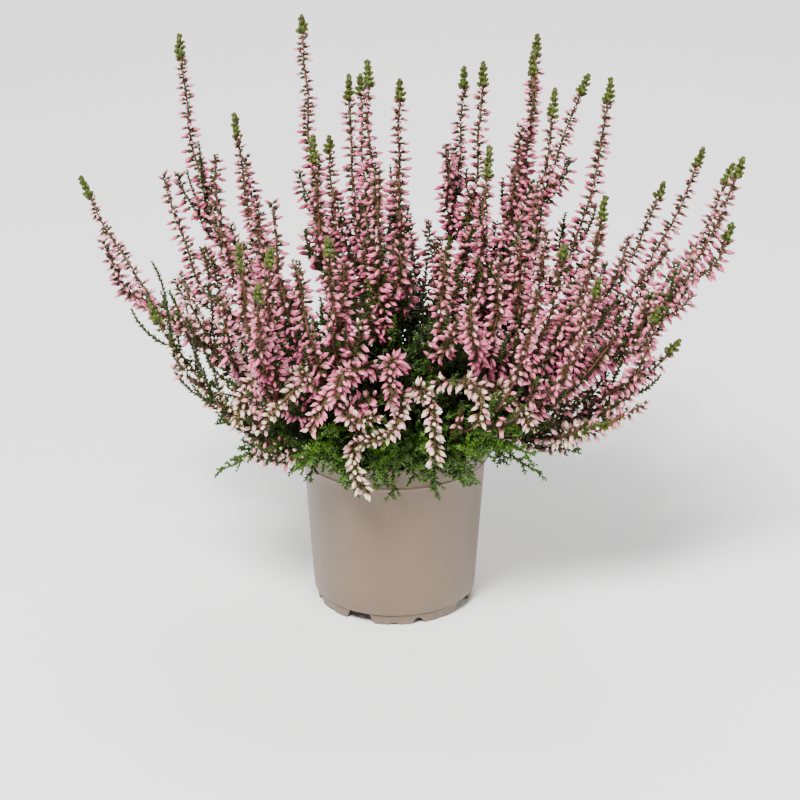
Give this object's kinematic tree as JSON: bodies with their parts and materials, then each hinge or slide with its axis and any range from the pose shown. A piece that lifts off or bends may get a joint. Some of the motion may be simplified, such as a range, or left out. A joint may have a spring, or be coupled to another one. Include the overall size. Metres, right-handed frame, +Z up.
{
  "type": "potted heather plant",
  "caption": "Bushy bud-flowering heather with upright and hanging pink flower spikes over a low leafy crown, in a round tapered nursery pot.",
  "frame": {"origin": "on the ground under the centre of the pot, which is also the middle of the whole plant's footprint to within 2 mm", "axes": "+Z up; -Y is the front, the side the picture shows; +X is to the right of a viewer at the front"},
  "size_m": [0.3753, 0.2183, 0.326],
  "materials": {
    "taupe_plastic": "satin",
    "peat_soil": "matte",
    "heather_wood": "matte",
    "heather_leaves": "matte",
    "heather_flowers": "matte"
  },
  "bodies": {
    "root": {"pot": "taupe_plastic", "potting_soil": "peat_soil", "woody_stock": "heather_wood", "leafy_crown": "heather_leaves", "flower_spray_01": "heather_flowers", "flower_spray_02": "heather_flowers", "flower_spray_03": "heather_flowers", "flower_spray_04": "heather_flowers", "flower_spray_05": "heather_flowers", "flower_spray_06": "heather_flowers", "flower_spray_07": "heather_flowers", "flower_spray_08": "heather_flowers", "flower_spray_09": "heather_flowers", "flower_spray_10": "heather_flowers", "flower_spray_11": "heather_flowers", "flower_spray_12": "heather_flowers", "flower_spray_13": "heather_flowers", "flower_spray_14": "heather_flowers", "flower_spray_15": "heather_flowers", "flower_spray_16": "heather_flowers", "flower_spray_17": "heather_flowers", "flower_spray_18": "heather_flowers", "flower_spray_19": "heather_flowers", "flower_spray_20": "heather_flowers", "flower_spray_21": "heather_flowers", "flower_spray_22": "heather_flowers", "flower_spray_23": "heather_flowers", "flower_spray_24": "heather_flowers", "flower_spray_25": "heather_flowers", "flower_spray_26": "heather_flowers", "flower_spray_27": "heather_flowers", "flower_spray_28": "heather_flowers", "flower_spray_29": "heather_flowers", "flower_spray_30": "heather_flowers", "flower_spray_31": "heather_flowers", "flower_spray_32": "heather_flowers", "flower_spray_33": "heather_flowers", "flower_spray_34": "heather_flowers", "flower_spray_35": "heather_flowers", "flower_spray_36": "heather_flowers", "flower_spray_37": "heather_flowers", "flower_spray_38": "heather_flowers", "flower_spray_39": "heather_flowers", "flower_spray_40": "heather_flowers", "flower_spray_41": "heather_flowers", "flower_spray_42": "heather_flowers", "flower_spray_43": "heather_flowers", "flower_spray_44": "heather_flowers", "flower_spray_45": "heather_flowers", "flower_spray_46": "heather_flowers", "flower_spray_47": "heather_flowers", "flower_spray_48": "heather_flowers", "flower_spray_49": "heather_flowers", "flower_spray_50": "heather_flowers", "flower_spray_51": "heather_flowers", "flower_spray_52": "heather_flowers", "flower_spray_53": "heather_flowers", "flower_spray_54": "heather_flowers", "flower_spray_55": "heather_flowers", "flower_spray_56": "heather_flowers"}
  },
  "joints": []
}
